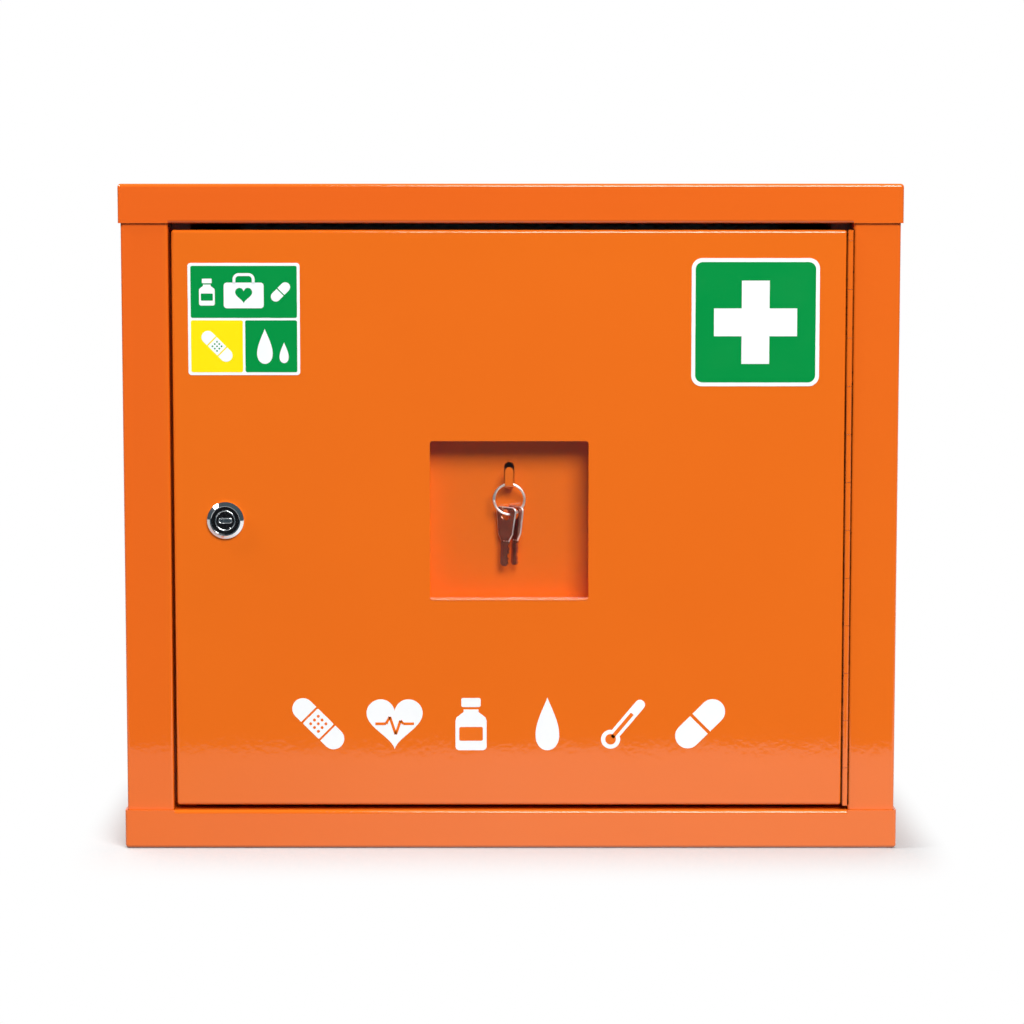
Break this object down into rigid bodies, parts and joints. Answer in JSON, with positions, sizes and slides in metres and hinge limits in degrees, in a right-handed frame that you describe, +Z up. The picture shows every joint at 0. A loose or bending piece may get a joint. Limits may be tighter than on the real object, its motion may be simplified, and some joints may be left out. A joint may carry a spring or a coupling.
{
  "type": "first aid cabinet",
  "caption": "Wall-hung folded-steel first aid cabinet with a piano-hinged locking door, an inner shelf and an emergency key niche behind a break pane.",
  "frame": {"origin": "middle of the footprint, on the surface the cabinet can stand on", "axes": "+X to the right of someone facing the door, +Y from the door towards the wall, +Z up"},
  "size_m": [0.49, 0.2018, 0.42],
  "materials": {
    "orange_paint": "semi-gloss powder coat",
    "zinc": "bright zinc plate",
    "black_rubber": "matte",
    "clear_pane": "clear acrylic",
    "sign_green": "vinyl sticker",
    "sign_white": "vinyl sticker",
    "lock_chrome": "polished",
    "lock_black": "gloss",
    "key_nickel": "nickel plate"
  },
  "bodies": {
    "case": {"top_cap": "orange_paint", "bottom_cap": "orange_paint", "left_side_panel": "orange_paint", "right_side_panel": "orange_paint", "back_panel": "orange_paint", "shelf": "orange_paint", "left_shelf_rail": "orange_paint", "right_shelf_rail": "orange_paint", "shelf_screws": "zinc", "door_buffers": "black_rubber", "hinge_frame_leaf": "orange_paint", "hinge_pin": "zinc"},
    "door": {"door_pan": "orange_paint", "hinge_door_leaf": "orange_paint", "key_niche": "orange_paint", "pane_gasket": "black_rubber", "break_pane": "clear_pane", "niche_studs": "zinc", "niche_nuts": "zinc", "first_aid_sign": "sign_green", "contents_sign": "sign_white", "lock_body": "lock_chrome", "lock_trim": "lock_black", "lock_washer": "zinc", "lock_nut": "zinc"},
    "lock_core": {"lock_plug": "lock_chrome", "lock_cam": "zinc", "cam_screw": "zinc"},
    "key_ring": {"key_ring": "key_nickel"},
    "front_key": {"front_key": "key_nickel"},
    "rear_key": {"rear_key": "key_nickel"}
  },
  "joints": [
    {"name": "door_hinge", "type": "hinge", "parent": "case", "child": "door", "pos_m": [0.21205, -0.09745, 0.2094], "axis": [0, 0, 1], "range_deg": [0, 160]},
    {"name": "lock_turn", "type": "hinge", "parent": "door", "child": "lock_core", "pos_m": [-0.1795, -0.09765, 0.2094], "axis": [0, 1, 0], "range_deg": [0, 90]},
    {"name": "ring_swing", "type": "hinge", "parent": "door", "child": "key_ring", "pos_m": [-0.00095, -0.08718, 0.22178], "axis": [0, 1, 0], "range_deg": [-35, 35]},
    {"name": "front_key_slide", "type": "hinge", "parent": "key_ring", "child": "front_key", "pos_m": [-0.00095, -0.08718, 0.22178], "axis": [0, 1, 0], "range_deg": [0, 20]},
    {"name": "rear_key_slide", "type": "hinge", "parent": "key_ring", "child": "rear_key", "pos_m": [-0.00095, -0.08718, 0.22178], "axis": [0, 1, 0], "range_deg": [-20, 0]}
  ]
}
